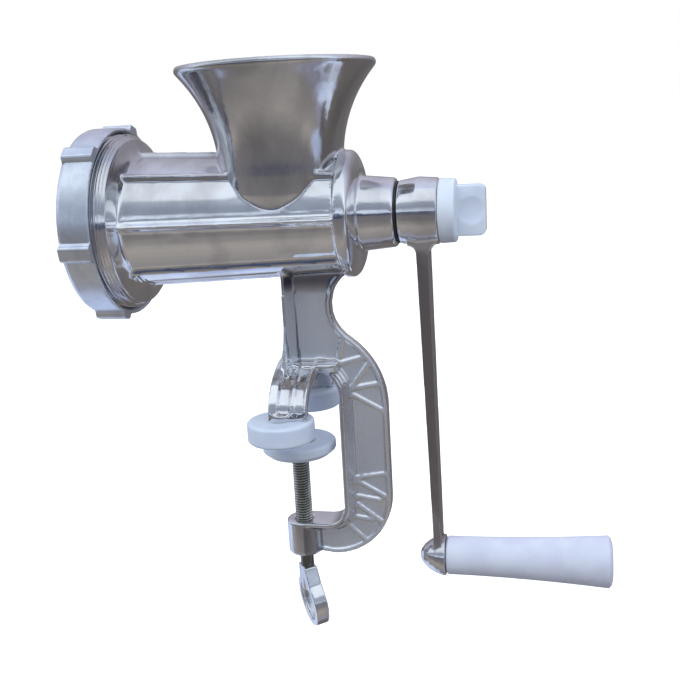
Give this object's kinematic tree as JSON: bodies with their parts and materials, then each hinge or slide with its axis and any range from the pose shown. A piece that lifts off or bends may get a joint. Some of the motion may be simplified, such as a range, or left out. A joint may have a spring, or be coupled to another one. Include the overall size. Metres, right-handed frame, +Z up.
{
  "type": "manual meat grinder",
  "caption": "Table-clamped hand meat grinder with a flared hopper, ribbed barrel, ring nut, crank with turning grip and a screw clamp.",
  "frame": {"origin": "midway between the two upper pads, in the plane of the table top that they rest on", "axes": "+X along the barrel towards the crank, +Z up, +Y to the left of the crank's side seen from the mouth"},
  "size_m": [0.2249, 0.0866, 0.259],
  "materials": {
    "polished_casting": "polished cast aluminium",
    "tumbled_aluminium": "tumbled, satin",
    "crank_casting": "polished cast aluminium, darker",
    "pad_plastic": "moulded, slightly translucent white",
    "knob_plastic": "moulded, soft gloss white",
    "grip_plastic": "moulded, matte white",
    "plated_steel": "zinc plated",
    "tool_steel": "ground",
    "dark_nylon": "moulded, black",
    "fibre": "pressed fibre",
    "feed_casting": "cast, satin"
  },
  "bodies": {
    "frame": {"body_casting": "polished_casting", "neck_bush": "dark_nylon", "plate_key_pin": "tool_steel", "table_pad_front": "pad_plastic", "table_pad_back": "pad_plastic"},
    "feed": {"feed_screw": "feed_casting", "thrust_washer": "fibre", "knife_stud": "tool_steel", "knife": "tool_steel"},
    "crank": {"crank_arm": "crank_casting", "grip_spindle": "plated_steel"},
    "grip": {"grip": "grip_plastic"},
    "knob": {"thumb_knob": "knob_plastic", "knob_stud": "plated_steel"},
    "plate": {"mincing_plate": "tool_steel"},
    "nut": {"ring_nut": "tumbled_aluminium"},
    "pad": {"clamp_pad": "pad_plastic", "pad_washer": "plated_steel"},
    "screw": {"clamp_screw": "plated_steel", "wing_handle": "polished_casting"}
  },
  "joints": [
    {"name": "crank_spin", "type": "hinge", "parent": "frame", "child": "feed", "pos_m": [0, 0, 0.093], "axis": [1, 0, 0], "continuous": true},
    {"name": "crank_slide", "type": "slide", "parent": "feed", "child": "crank", "axis": [1, 0, 0], "range_m": [0, 0.012]},
    {"name": "knob_turn", "type": "hinge", "parent": "crank", "child": "knob", "pos_m": [0, 0, 0.093], "axis": [1, 0, 0], "range_deg": [0, 3600]},
    {"name": "grip_spin", "type": "hinge", "parent": "crank", "child": "grip", "pos_m": [0.07, 0, -0.063], "axis": [1, 0, 0], "continuous": true},
    {"name": "plate_slide", "type": "slide", "parent": "frame", "child": "plate", "axis": [-1, 0, 0], "range_m": [0, 0.01]},
    {"name": "nut_turn", "type": "hinge", "parent": "plate", "child": "nut", "pos_m": [-0.08, 0, 0.093], "axis": [-1, 0, 0], "range_deg": [0, 1260]},
    {"name": "clamp_slide", "type": "slide", "parent": "frame", "child": "pad", "axis": [0, 0, 1], "range_m": [-0.03, 0.0065]},
    {"name": "screw_turn", "type": "hinge", "parent": "pad", "child": "screw", "pos_m": [0.0004, 0, -0.05], "axis": [0, 0, 1], "range_deg": [-8820, 2052]}
  ],
  "couplings": [
    {"joint": "knob_turn", "follows": "crank_slide", "rad_per_m": 5026.5},
    {"joint": "nut_turn", "follows": "plate_slide", "rad_per_m": 2094.4},
    {"joint": "screw_turn", "follows": "clamp_slide", "rad_per_m": 5026.5}
  ]
}
